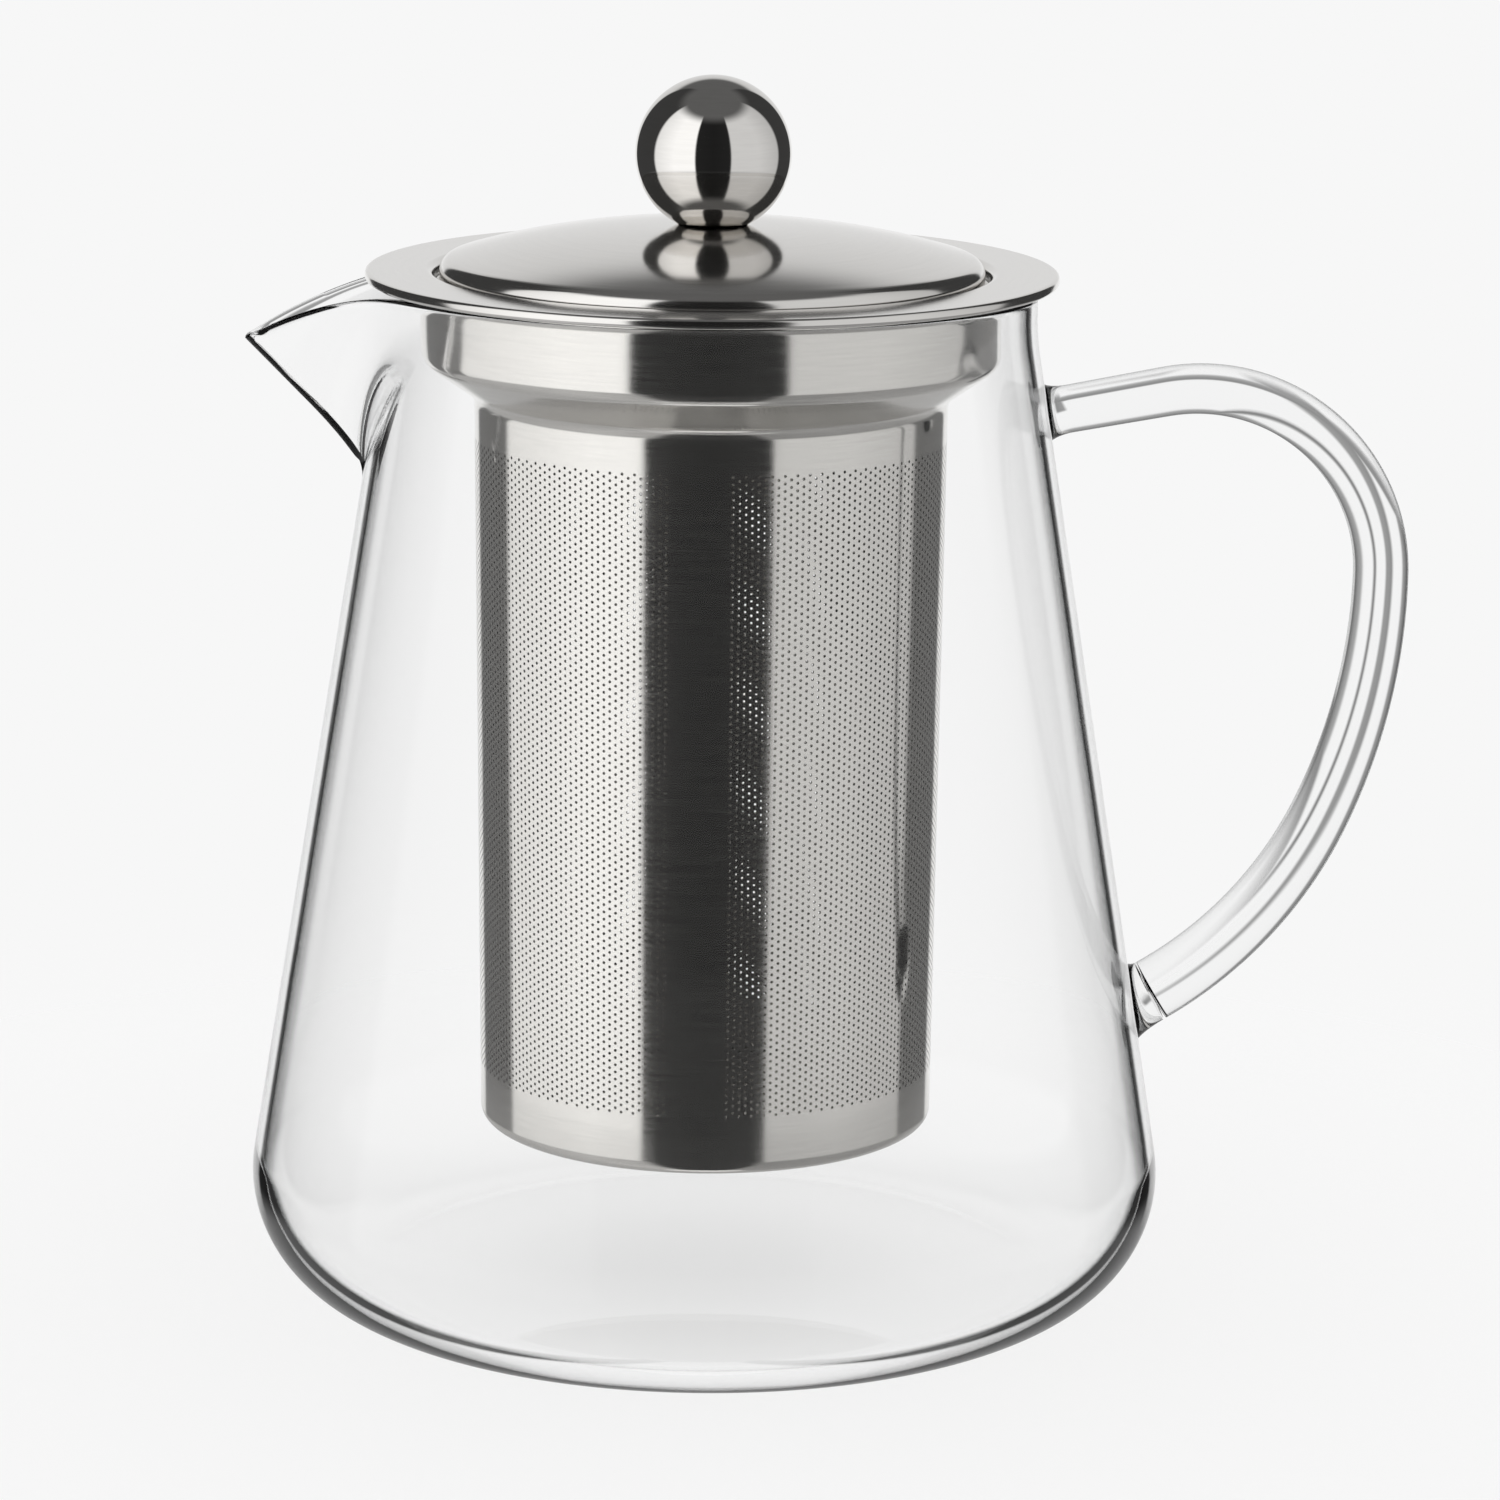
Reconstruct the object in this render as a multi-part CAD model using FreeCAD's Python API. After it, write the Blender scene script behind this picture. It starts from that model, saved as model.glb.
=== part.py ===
"""Glass teapot with a lift-out steel infuser and a lift-off steel lid. Millimetres, +Z up.

The origin is the middle of the flat foot. The spout points along -X and the handle along +X.
"""
import FreeCAD, Part
import math
import os

Vector = FreeCAD.Vector

# Glass jug
widest_radius = 73.0
foot_corner_radius = 20.0
rim_height = 163.3
neck_radius = 51.0
neck_length = 7.5
neck_blend_radius = 40.0
glass_wall = 1.8
glass_floor = 2.8

# Pulled spout
spout_drop = 28.5
spout_overhang = 23.1
spout_half_angle = 23.0
spout_tip_radius = 2.4
spout_wall = 1.4
lip_droop = 8.4
lip_run = 30.0

# Glass handle
rod_top_diameter = 7.6
rod_foot_diameter = 10.2
handle_top_drop = 20.0
handle_foot_height = 47.6
handle_widest_height = 118.0
handle_standoff = 49.1
handle_rise_angle = 10.7
handle_return_angle = 31.0
weld_length = 3.4
weld_flare = 1.5

# Steel infuser
infuser_sheet = 0.6
flange_setback = 0.5
collar_gap = 3.9
collar_depth = 11.7
collar_mouth_radius = 1.2
collar_corner_radius = 2.7
shoulder_step = 8.1
shoulder_angle = 36.0
shoulder_foot_radius = 2.6
collar_skirt = 2.8
tube_taper = 1.0
screen_sheet = 0.4
base_cup_depth = 2.2
base_corner_radius = 2.0
infuser_floor_gap = 25.7

# Steel lid
lid_sheet = 0.8
lid_overhang = 3.3
lid_edge_radius = 0.6
hem_width = 4.2
lid_clearance = 0.3
groove_width = 0.9
groove_depth = 2.4
groove_radius = 0.3
flange_bend_radius = 1.2
dome_rise = 7.1
dome_edge_rise = 1.4
dome_shoulder_radius = 2.4

# Ball knob and its fixing
ball_diameter = 24.5
ball_seat_radius = 5.4
screw_diameter = 4.0
screw_engagement = 10.0
screw_head_diameter = 7.6
screw_head_height = 2.4
screw_head_round = 0.7
screw_tip_round = 0.5
recess_width = 0.9
recess_length = 4.2
recess_depth = 1.2
hole_clearance = 0.2
thread_clearance = 0.1
bore_run_out = 2.0
washer_diameter = 9.6
washer_thickness = 0.8


def rounded_edges(corners):
    """Edges of a closed loop in the XZ plane through corners (x, z, rounding radius)."""
    spots = []
    count = len(corners)
    for i, (x, z, radius) in enumerate(corners):
        here = Vector(x, 0, z)
        before = Vector(corners[i - 1][0], 0, corners[i - 1][1]) - here
        after = Vector(corners[(i + 1) % count][0], 0, corners[(i + 1) % count][1]) - here
        if radius <= 0:
            spots.append((here, None, here))
            continue
        half_turn = before.getAngle(after) / 2
        before.normalize()
        after.normalize()
        middle = before + after
        middle.normalize()
        reach = radius / math.tan(half_turn)
        crown = here + middle * (radius / math.sin(half_turn) - radius)
        spots.append((here + before * reach, crown, here + after * reach))
    edges = []
    for i, (start, crown, end) in enumerate(spots):
        if crown is not None:
            edges.append(Part.Arc(start, crown, end).toShape())
        following = spots[(i + 1) % count][0]
        if end.distanceToPoint(following) > 1e-6:
            edges.append(Part.LineSegment(end, following).toShape())
    return edges


def turned(corners):
    """Solid of revolution about Z from a closed loop of corners."""
    face = Part.Face(Part.Wire(rounded_edges(corners)))
    return face.revolve(Vector(0, 0, 0), Vector(0, 0, 1), 360)


def offset_path(corners, gap):
    """The open path of corners moved to the right of its travel by gap, with its roundings kept parallel."""
    runs = []
    for (x0, z0, _), (x1, z1, _) in zip(corners, corners[1:]):
        run = Vector(x1 - x0, 0, z1 - z0)
        run.normalize()
        runs.append((run, Vector(x0, 0, z0) + Vector(run.z, 0, -run.x) * gap))
    first_run, first_point = runs[0]
    moved = [(first_point.x, first_point.z, 0)]
    for i in range(1, len(runs)):
        run_in, point_in = runs[i - 1]
        run_out, point_out = runs[i]
        turn = run_in.x * run_out.z - run_in.z * run_out.x
        apart = point_out - point_in
        along = (apart.x * run_out.z - apart.z * run_out.x) / turn
        corner = point_in + run_in * along
        radius = corners[i][2] + math.copysign(gap, turn)
        moved.append((corner.x, corner.z, radius))
    last_run, last_point = runs[-1]
    end = Vector(corners[-1][0], 0, corners[-1][1]) + Vector(last_run.z, 0, -last_run.x) * gap
    moved.append((end.x, end.z, 0))
    return moved


def sheet_ring(corners, thickness):
    """Turned sheet: the path of corners is one face and the other lies to the right of it."""
    return turned(corners + offset_path(corners, thickness)[::-1])


# Jug wall: a straight taper that touches the foot's round corner and ends at the neck
foot_radius = widest_radius - foot_corner_radius
neck_height = rim_height - neck_length
taper_dx = neck_radius - foot_radius
taper_dz = neck_height - foot_corner_radius
taper = math.atan2(taper_dz, taper_dx) - math.acos(foot_corner_radius / math.hypot(taper_dx, taper_dz))
wall_offset = foot_radius * math.cos(taper) + foot_corner_radius * (1 + math.sin(taper))
neck_inner_radius = neck_radius - glass_wall


def wall_radius(height, depth=0.0):
    """Radius of the tapered wall at a height, at a depth below its outer face."""
    return (wall_offset - depth - height * math.sin(taper)) / math.cos(taper)


def wall_height(radius, depth=0.0):
    """Height at which the tapered wall has a radius."""
    return (wall_offset - depth - radius * math.cos(taper)) / math.sin(taper)


trim_height = rim_height + lip_droop


def jug_outside():
    return turned([
        (0, 0, 0),
        (wall_radius(0), 0, foot_corner_radius),
        (neck_radius, neck_height, neck_blend_radius),
        (neck_radius, trim_height, 0),
        (0, trim_height, 0),
    ])


def jug_inside():
    neck_bend = wall_height(neck_inner_radius, glass_wall)
    return turned([
        (0, glass_floor, 0),
        (wall_radius(glass_floor, glass_wall), glass_floor, foot_corner_radius - glass_wall),
        (neck_inner_radius, neck_bend, neck_blend_radius + glass_wall),
        (neck_inner_radius, trim_height + glass_wall, 0),
        (0, trim_height + glass_wall, 0),
    ])


# Spout: a cone that opens from its root on the wall up to the lip
root_height = rim_height - spout_drop
root_x = -wall_radius(root_height)
tip_x = -(neck_radius + spout_overhang)
tip_height = rim_height - lip_droop
ridge_run = (root_x - tip_x) / (tip_height - root_height)
ridge_stretch = math.hypot(1, ridge_run)
spout_half = math.radians(spout_half_angle)


def spout_cone(root, tip_radius, top):
    """Cone from its root point to a rounded V at the height top; tip_radius holds at the lip."""
    grown = (top - root.z) / (tip_height - root.z)
    nose_radius = tip_radius * grown
    nose_x = root.x - ridge_run * (top - root.z)
    middle_x = nose_x + nose_radius
    side_x = middle_x - nose_radius * math.sin(spout_half)
    side_y = nose_radius * math.cos(spout_half)
    back_x = -neck_inner_radius / 2
    back_y = side_y + (back_x - side_x) * math.tan(spout_half)
    near_side, far_side = Vector(side_x, -side_y, top), Vector(side_x, side_y, top)
    near_back, far_back = Vector(back_x, -back_y, top), Vector(back_x, back_y, top)
    mouth = Part.Wire([
        Part.Arc(near_side, Vector(nose_x, 0, top), far_side).toShape(),
        Part.LineSegment(far_side, far_back).toShape(),
        Part.LineSegment(far_back, near_back).toShape(),
        Part.LineSegment(near_back, near_side).toShape(),
    ])
    return Part.makeLoft([Part.Vertex(root), mouth], True, True)


def rim_trim():
    """What is cut off above the level rim and above the lip's downward curve."""
    start = Vector(tip_x + lip_run, 0, rim_height)
    bend = (lip_run ** 2 + lip_droop ** 2) / (2 * lip_droop)
    past_tip = lip_run + spout_wall

    def on_lip(run):
        return Vector(start.x - run, 0, rim_height - bend + math.sqrt(bend ** 2 - run ** 2))

    above = trim_height + spout_overhang
    outline = [
        Vector(2 * widest_radius, 0, rim_height),
        start,
        on_lip(past_tip),
        Vector(2 * tip_x, 0, on_lip(past_tip).z),
        Vector(2 * tip_x, 0, above),
        Vector(2 * widest_radius, 0, above),
    ]
    edges = [Part.Arc(outline[1], on_lip(past_tip / 2), outline[2]).toShape()]
    for first, second in zip(outline[2:] + outline[:1], outline[3:] + outline[:2]):
        edges.append(Part.LineSegment(first, second).toShape())
    face = Part.Face(Part.Wire(Part.__sortEdges__(edges)))
    block = face.extrude(Vector(0, 4 * widest_radius, 0))
    block.translate(Vector(0, -2 * widest_radius, 0))
    return block


def glass_body():
    outer_root = Vector(root_x, 0, root_height)
    inner_root = outer_root + Vector(1, 0, ridge_run) * (spout_wall / ridge_stretch)
    inner_tip_radius = spout_tip_radius - spout_wall
    outside = jug_outside().fuse(spout_cone(outer_root, spout_tip_radius, trim_height))
    hollow_top = trim_height + glass_wall
    inside = jug_inside().fuse(spout_cone(inner_root, inner_tip_radius, hollow_top))
    return outside.cut(inside).cut(rim_trim()).removeSplitter()


# Handle: the rod's middle line runs straight out of the upper weld, round one bend to where it stands out
# furthest, and back to the lower weld in two arcs
top_radius = rod_top_diameter / 2
foot_end_radius = rod_foot_diameter / 2
top_joint_height = rim_height - handle_top_drop
top_joint = Vector(wall_radius(top_joint_height), 0, top_joint_height)
foot_joint = Vector(wall_radius(handle_foot_height), 0, handle_foot_height)
rod_widest = Vector(wall_radius(handle_widest_height) + handle_standoff, 0, handle_widest_height)
rise = math.radians(handle_rise_angle)
back = math.radians(handle_return_angle)
top_way = Vector(math.cos(rise), 0, math.sin(rise))
reach_out = rod_widest - top_joint
bend_radius = (reach_out.x * top_way.z - reach_out.z * top_way.x) / (1 + top_way.z)
bend_centre = rod_widest - Vector(bend_radius, 0, 0)
foot_way = Vector(-math.cos(back), 0, -math.sin(back))
rod_start = top_joint + top_way * weld_length
rod_end = foot_joint - foot_way * weld_length
bend_start = bend_centre + Vector(-top_way.z, 0, top_way.x) * bend_radius


def arc_from(start, way, end):
    """Arc that leaves start along way and reaches end."""
    chord = end - start
    square = Vector(-way.z, 0, way.x)
    radius = chord.dot(chord) / (2 * chord.dot(square))
    centre = start + square * radius
    bisector = (start + end) * 0.5 - centre
    bisector.normalize()
    crown = centre + bisector * abs(radius)
    return Part.Arc(start, crown, end).toShape()


def arc_pair(start, start_way, end, end_way):
    """Two arcs that meet smoothly and take start to end along the given ways."""
    chord = end - start
    ways = start_way + end_way
    spread = 2 * (1 - start_way.dot(end_way))
    pull = chord.dot(ways)
    reach = (math.sqrt(pull ** 2 + spread * chord.dot(chord)) - pull) / spread
    joint = (start + start_way * reach + end - end_way * reach) * 0.5
    second = arc_from(end, end_way * -1, joint)
    return [arc_from(start, start_way, joint), second]


def handle_rod():
    down = Vector(0, 0, -1)
    edges = [Part.LineSegment(rod_start, bend_start).toShape(), arc_from(bend_start, top_way, rod_widest)]
    edges += arc_pair(rod_widest, down, rod_end, foot_way)
    path = Part.Wire(Part.__sortEdges__(edges))
    top_section = Part.Wire(Part.makeCircle(top_radius, rod_start, top_way))
    foot_section = Part.Wire(Part.makeCircle(foot_end_radius, rod_end, foot_way))
    return path.makePipeShell([top_section, foot_section], True, False)


def handle_weld(joint, outward, end_radius):
    """Flared gather from the wall to the rod's end, cut to the wall it sits on."""
    weld_radius = end_radius + weld_flare
    low, high = Vector(weld_radius, 0, 0), Vector(end_radius, 0, weld_length)
    edges = [arc_from(high, Vector(0, 0, -1), low)]
    loop = [low, Vector(weld_radius, 0, -weld_radius), Vector(0, 0, -weld_radius), Vector(0, 0, weld_length), high]
    for first, second in zip(loop, loop[1:]):
        edges.append(Part.LineSegment(first, second).toShape())
    face = Part.Face(Part.Wire(Part.__sortEdges__(edges)))
    flared = face.revolve(Vector(0, 0, 0), Vector(0, 0, 1), 360)
    flared.Placement = FreeCAD.Placement(joint, FreeCAD.Rotation(Vector(0, 0, 1), outward))
    return flared.cut(jug_outside())


# Infuser: hangs by its flange from the rim
collar_radius = neck_inner_radius - collar_gap
tube_radius = collar_radius - shoulder_step
collar_foot = rim_height - collar_depth
shoulder_foot = collar_foot - shoulder_step * math.tan(math.radians(shoulder_angle))
seam_height = shoulder_foot - collar_skirt
infuser_bottom = glass_floor + infuser_floor_gap
cup_height = infuser_bottom + base_cup_depth
tube_foot_radius = tube_radius - tube_taper


def infuser_collar():
    return sheet_ring([
        (neck_radius - flange_setback, rim_height, 0),
        (collar_radius, rim_height, collar_mouth_radius),
        (collar_radius, collar_foot, collar_corner_radius),
        (tube_radius, shoulder_foot, shoulder_foot_radius),
        (tube_radius, seam_height, 0),
    ], infuser_sheet)


def infuser_screen():
    return turned([
        (tube_radius, seam_height, 0),
        (tube_foot_radius, cup_height, 0),
        (tube_foot_radius - screen_sheet, cup_height, 0),
        (tube_radius - screen_sheet, seam_height, 0),
    ])


def infuser_base():
    return turned([
        (tube_foot_radius, cup_height, 0),
        (tube_foot_radius, infuser_bottom, base_corner_radius),
        (0, infuser_bottom, 0),
        (0, infuser_bottom + infuser_sheet, 0),
        (tube_foot_radius - infuser_sheet, infuser_bottom + infuser_sheet, base_corner_radius - infuser_sheet),
        (tube_foot_radius - infuser_sheet, cup_height, 0),
    ])


# Lid: rests by its hem on the infuser's flange, and its groove drops into the collar
lid_seat = rim_height + infuser_sheet
lid_top = lid_seat + 2 * lid_sheet
lid_radius = neck_radius + lid_overhang
groove_outer_radius = collar_radius - infuser_sheet - lid_clearance - lid_sheet
dome_foot_radius = groove_outer_radius - groove_width
ball_seat = lid_top + dome_rise
screw_radius = screw_diameter / 2
lid_hole_radius = screw_radius + hole_clearance


def lid_shell():
    flat_radius = ball_seat_radius + hole_clearance
    dome_run = dome_foot_radius - dome_shoulder_radius - flat_radius
    dome_slope = math.atan2(dome_rise - dome_edge_rise, dome_run / 2 + dome_shoulder_radius)
    dome_radius = dome_run / math.sin(dome_slope)
    dome_bend = flat_radius + dome_radius * math.tan(dome_slope / 2)
    dome_edge = ball_seat - (dome_foot_radius - dome_bend) * math.tan(dome_slope)
    face = [
        (lid_hole_radius, ball_seat, 0),
        (dome_bend, ball_seat, dome_radius),
        (dome_foot_radius, dome_edge, dome_shoulder_radius),
        (dome_foot_radius, lid_top - groove_depth, groove_radius),
        (groove_outer_radius, lid_top - groove_depth, groove_radius),
        (groove_outer_radius, lid_top, flange_bend_radius),
        (lid_radius - hem_width, lid_top, 0),
    ]
    hem = [
        (lid_radius, lid_top, lid_edge_radius),
        (lid_radius, lid_seat, lid_edge_radius),
        (lid_radius - hem_width, lid_seat, 0),
    ]
    return turned(face[:-1] + hem + offset_path(face, lid_sheet)[::-1])


def knob_ball():
    ball_radius = ball_diameter / 2
    middle = ball_seat + math.sqrt(ball_radius ** 2 - ball_seat_radius ** 2)
    ball = Part.makeSphere(ball_radius, Vector(0, 0, middle))
    under = Part.makeCylinder(ball_diameter, ball_diameter, Vector(0, 0, ball_seat - ball_diameter))
    bore_depth = screw_engagement + bore_run_out
    bore = Part.makeCylinder(screw_radius + thread_clearance, bore_depth, Vector(0, 0, ball_seat))
    return ball.cut(under).cut(bore)


washer_top = ball_seat - lid_sheet
head_top = washer_top - washer_thickness


def knob_washer():
    ring = Part.makeCylinder(washer_diameter / 2, washer_thickness, Vector(0, 0, head_top))
    hole = Part.makeCylinder(lid_hole_radius, washer_thickness, Vector(0, 0, head_top))
    return ring.cut(hole)


def knob_screw():
    head_radius = screw_head_diameter / 2
    head_bottom = head_top - screw_head_height
    tip = ball_seat + screw_engagement
    screw = turned([
        (0, head_bottom, 0),
        (head_radius, head_bottom, screw_head_round),
        (head_radius, head_top, 0),
        (screw_radius, head_top, 0),
        (screw_radius, tip, screw_tip_round),
        (0, tip, 0),
    ])
    corner = Vector(-recess_length / 2, -recess_width / 2, head_bottom)
    slot = Part.makeBox(recess_length, recess_width, recess_depth, corner)
    crossed = slot.copy()
    crossed.rotate(Vector(0, 0, 0), Vector(0, 0, 1), 90)
    return screw.cut(slot).cut(crossed)


os.makedirs("parts", exist_ok=True)
pieces = {
    "glass_body": glass_body(),
    "handle_rod": handle_rod(),
    "upper_handle_weld": handle_weld(top_joint, top_way, top_radius),
    "lower_handle_weld": handle_weld(foot_joint, foot_way * -1, foot_end_radius),
    "infuser_collar": infuser_collar(),
    "infuser_screen": infuser_screen(),
    "infuser_base": infuser_base(),
    "lid_shell": lid_shell(),
    "knob_ball": knob_ball(),
    "knob_screw": knob_screw(),
    "knob_washer": knob_washer(),
}
for name, shape in pieces.items():
    shape.exportStep(f"parts/{name}.step")
    box = shape.BoundBox
    print(
        f"{name}: {len(shape.Solids)} solid, valid {shape.isValid()}, {shape.Volume / 1000:.2f} cm3,"
        f" x {box.XMin:.1f} {box.XMax:.1f} y {box.YMin:.1f} {box.YMax:.1f} z {box.ZMin:.1f} {box.ZMax:.1f}"
    )
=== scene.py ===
"""Looks for a glass teapot with a lift-out steel infuser, in metres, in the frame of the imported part."""
import math

import bpy
import numpy as np
from mathutils import Matrix


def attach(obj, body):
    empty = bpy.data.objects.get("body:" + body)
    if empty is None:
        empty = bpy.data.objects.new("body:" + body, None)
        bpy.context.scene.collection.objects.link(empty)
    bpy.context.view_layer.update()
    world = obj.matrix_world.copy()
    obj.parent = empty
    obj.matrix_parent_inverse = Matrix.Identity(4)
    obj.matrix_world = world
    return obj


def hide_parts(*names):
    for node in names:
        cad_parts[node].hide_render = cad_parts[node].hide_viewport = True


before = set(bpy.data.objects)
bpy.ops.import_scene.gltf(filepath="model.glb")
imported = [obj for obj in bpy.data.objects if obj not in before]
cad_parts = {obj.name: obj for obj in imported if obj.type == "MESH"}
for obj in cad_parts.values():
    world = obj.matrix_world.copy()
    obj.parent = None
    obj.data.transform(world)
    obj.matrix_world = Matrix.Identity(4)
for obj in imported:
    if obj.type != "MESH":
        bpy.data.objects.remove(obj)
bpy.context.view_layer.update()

bl_info = {
    "name": "Glass Teapot",
    "version": (1, 0, 0),
    "blender": (4, 5, 0),
    "location": "View3D > Sidebar > Teapot",
    "description": "Builds a glass teapot with its steel infuser and lid around the packed part",
    "category": "Object",
}


def linear(code):
    """Linear RGBA of an sRGB hex colour."""
    channels = [int(code[i:i + 2], 16) / 255 for i in (1, 3, 5)]
    return [c / 12.92 if c <= 0.04045 else ((c + 0.055) / 1.055) ** 2.4 for c in channels] + [1.0]


def size(label, text, millimetres):
    return bpy.props.FloatProperty(
        name=label, description=text, default=millimetres / 1000, min=0.0, precision=4, unit="LENGTH")


def turn(label, text, degrees):
    return bpy.props.FloatProperty(name=label, description=text, default=math.radians(degrees), unit="ROTATION")


def colour(label, text, code):
    return bpy.props.FloatVectorProperty(
        name=label, description=text, default=linear(code), size=4, min=0.0, max=1.0, subtype="COLOR")


class JugSizes(bpy.types.PropertyGroup):
    widest_radius: size("Widest radius", "Outside radius where the foot's round corner would meet the wall", 72.98)
    foot_corner: size("Foot corner", "Rounding from the foot into the wall", 20.0)
    rim_height: size("Rim height", "Height of the level part of the rim", 163.3)
    neck_radius: size("Neck radius", "Outside radius of the straight neck", 51.0)
    neck_length: size("Neck length", "Straight length under the rim", 7.5)
    neck_blend: size("Neck blend", "Rounding from the wall into the neck", 40.0)
    wall: size("Wall", "Thickness of the blown wall", 1.8)
    floor: size("Floor", "Thickness of the floor", 2.8)
    spout_drop: size("Spout drop", "How far below the rim the spout leaves the wall", 28.5)
    spout_overhang: size("Spout overhang", "How far the lip stands out from the neck", 23.1)
    spout_half_angle: turn("Spout half angle", "Half the angle between the spout's two sides", 23.0)
    spout_tip: size("Spout tip", "Radius of the lip's nose", 2.4)
    spout_wall: size("Spout wall", "Thickness of the drawn spout", 1.4)
    spout_blend: size("Spout blend", "How softly the spout runs out into the wall at its root", 4.0)
    spout_blend_top: size("Spout blend at the rim", "How softly it runs out into the neck", 15.0)
    lip_droop: size("Lip droop", "How far the lip's nose hangs below the rim", 8.4)
    lip_run: size("Lip run", "Length over which the lip bends down", 30.0)


class HandleSizes(bpy.types.PropertyGroup):
    top_diameter: size("Top diameter", "Rod diameter at the upper weld", 7.6)
    foot_diameter: size("Foot diameter", "Rod diameter at the lower weld", 10.2)
    top_drop: size("Top drop", "Upper weld below the rim", 20.0)
    foot_height: size("Foot height", "Lower weld above the foot", 47.6)
    widest_height: size("Widest height", "Height where the rod stands out furthest", 118.0)
    standoff: size("Standoff", "Wall to the rod's middle line there", 49.1)
    rise_angle: turn("Rise angle", "Slope of the rod at the upper weld", 10.7)
    return_angle: turn("Return angle", "Slope of the rod at the lower weld", 31.0)
    weld_length: size("Weld length", "Length of the flared gather at each end", 3.4)
    weld_flare: size("Weld flare", "How much wider the gather is at the wall", 1.5)
    weld_sink: size("Weld sink", "How deep the gather is melted into the wall", 0.7)


class InfuserSizes(bpy.types.PropertyGroup):
    sheet: size("Sheet", "Thickness of the collar and the base", 0.6)
    flange_setback: size("Flange setback", "Flange edge inside the outside of the rim", 0.5)
    collar_gap: size("Collar gap", "Gap between the collar and the neck", 3.9)
    collar_depth: size("Collar depth", "Depth of the wide collar", 11.7)
    mouth_round: size("Mouth rounding", "Bend under the flange", 1.2)
    collar_corner: size("Collar corner", "Bend at the collar's lower edge", 2.7)
    shoulder_step: size("Shoulder step", "Collar radius less tube radius", 8.1)
    shoulder_angle: turn("Shoulder angle", "Slope of the shoulder", 36.0)
    shoulder_foot: size("Shoulder foot", "Bend from the shoulder into the tube", 2.6)
    skirt: size("Skirt", "Plain tube above the screen", 2.8)
    taper: size("Taper", "How much the tube narrows to its base", 1.0)
    screen_sheet: size("Screen sheet", "Thickness of the punched sheet", 0.4)
    cup_depth: size("Cup depth", "Height of the base cup", 2.2)
    base_corner: size("Base corner", "Rounding of the base cup", 2.0)
    floor_gap: size("Floor gap", "Infuser's base above the jug's floor", 25.7)
    hole: size("Hole", "Diameter of the punched holes", 0.52)
    hole_pitch: size("Hole pitch", "Distance between the columns of holes", 1.0)
    plain_top: size("Plain top", "Unpunched edge at the top of the screen", 3.4)
    plain_foot: size("Plain foot", "Unpunched edge at the foot of the screen", 6.9)
    seam_strip: size("Seam strip", "Width of the unpunched strip along the weld", 9.0)
    seam_angle: turn("Seam angle", "Where the strip stands, from the front towards the spout", 2.5)


class LidSizes(bpy.types.PropertyGroup):
    sheet: size("Sheet", "Thickness of the pressed sheet", 0.8)
    overhang: size("Overhang", "Lid edge outside the neck", 3.3)
    edge_round: size("Edge rounding", "Rounding of the folded edge", 0.6)
    hem: size("Hem", "Width of the folded edge", 4.2)
    clearance: size("Clearance", "Groove inside the collar", 0.3)
    groove_width: size("Groove width", "Width of the groove round the dome", 0.9)
    groove_depth: size("Groove depth", "Depth of the groove", 2.4)
    groove_round: size("Groove rounding", "Bend at the groove's foot", 0.3)
    flange_bend: size("Flange bend", "Bend from the groove into the flange", 1.2)
    dome_rise: size("Dome rise", "Knob seat above the flange", 7.1)
    dome_edge_rise: size("Dome edge rise", "Dome edge above the flange", 1.4)
    dome_shoulder: size("Dome shoulder", "Bend at the dome's edge", 2.4)
    ball: size("Ball", "Diameter of the knob", 24.5)
    ball_seat: size("Ball seat", "Radius of the flat under the knob", 5.4)
    screw_hole: size("Screw hole", "Radius of the hole for the screw", 2.2)
    ball_bore: size("Ball bore", "Radius of the knob's threaded hole", 2.1)
    bore_depth: size("Bore depth", "Depth of the knob's threaded hole", 12.0)


class FinishColours(bpy.types.PropertyGroup):
    glass: colour("Glass", "Clear borosilicate", "#ffffff")
    # Painted shade: the blown wall's colour turns to this grey at its outlines, for the dark surroundings its edges
    # bend and mirror.
    wall_edge: colour("Glass wall edge", "Tone at the outlines of the blown wall", "#b9bcbc")
    # Painted shade: the rod's colour turns to this darker grey at its outlines, for the dark surroundings it bends
    # and mirrors.
    rod_edge: colour("Glass rod edge", "Tone at the outlines of the rod", "#7b7e7e")
    glass_depth: colour("Glass in depth", "Colour that long paths through the glass take on", "#c3c8c7")
    brushed: colour("Brushed steel", "Stainless steel with a fine grind", "#e0deda")
    polished: colour("Polished steel", "Buffed stainless steel", "#e4e2df")
    fixing: colour("Fixing steel", "Pickled stainless steel of the screw and washer", "#bdbab6")
    paper: colour("Paper", "Background", "#f7f7f7")
    floor: colour("Floor", "Floor sheet, a little paler so that it stays pale in the soft shadow", "#fdfdfd")


def rounded(corners, step=0.00025, fewest=6):
    """Points of an open path through corners (radius, height, rounding), with fine arcs at the roundings."""
    points = []
    last = len(corners) - 1
    for i, (x, z, bend) in enumerate(corners):
        here = np.array((x, z))
        if bend <= 0 or i in (0, last):
            points.append(here)
            continue
        before = np.array(corners[i - 1][:2]) - here
        after = np.array(corners[i + 1][:2]) - here
        before /= np.linalg.norm(before)
        after /= np.linalg.norm(after)
        half = math.acos(np.clip(before @ after, -1, 1)) / 2
        middle = (before + after) / np.linalg.norm(before + after)
        centre = here + middle * bend / math.sin(half)
        first = here + before * bend / math.tan(half) - centre
        final = here + after * bend / math.tan(half) - centre
        sweep = math.pi - 2 * half
        count = max(fewest, int(bend * sweep / max(step, min(bend * 0.05, 3 * step))))
        side = math.copysign(1, first[0] * final[1] - first[1] * final[0])
        for k in range(count + 1):
            a = side * sweep * k / count
            points.append(centre + (first[0] * math.cos(a) - first[1] * math.sin(a),
                                    first[0] * math.sin(a) + first[1] * math.cos(a)))
    return points


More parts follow.
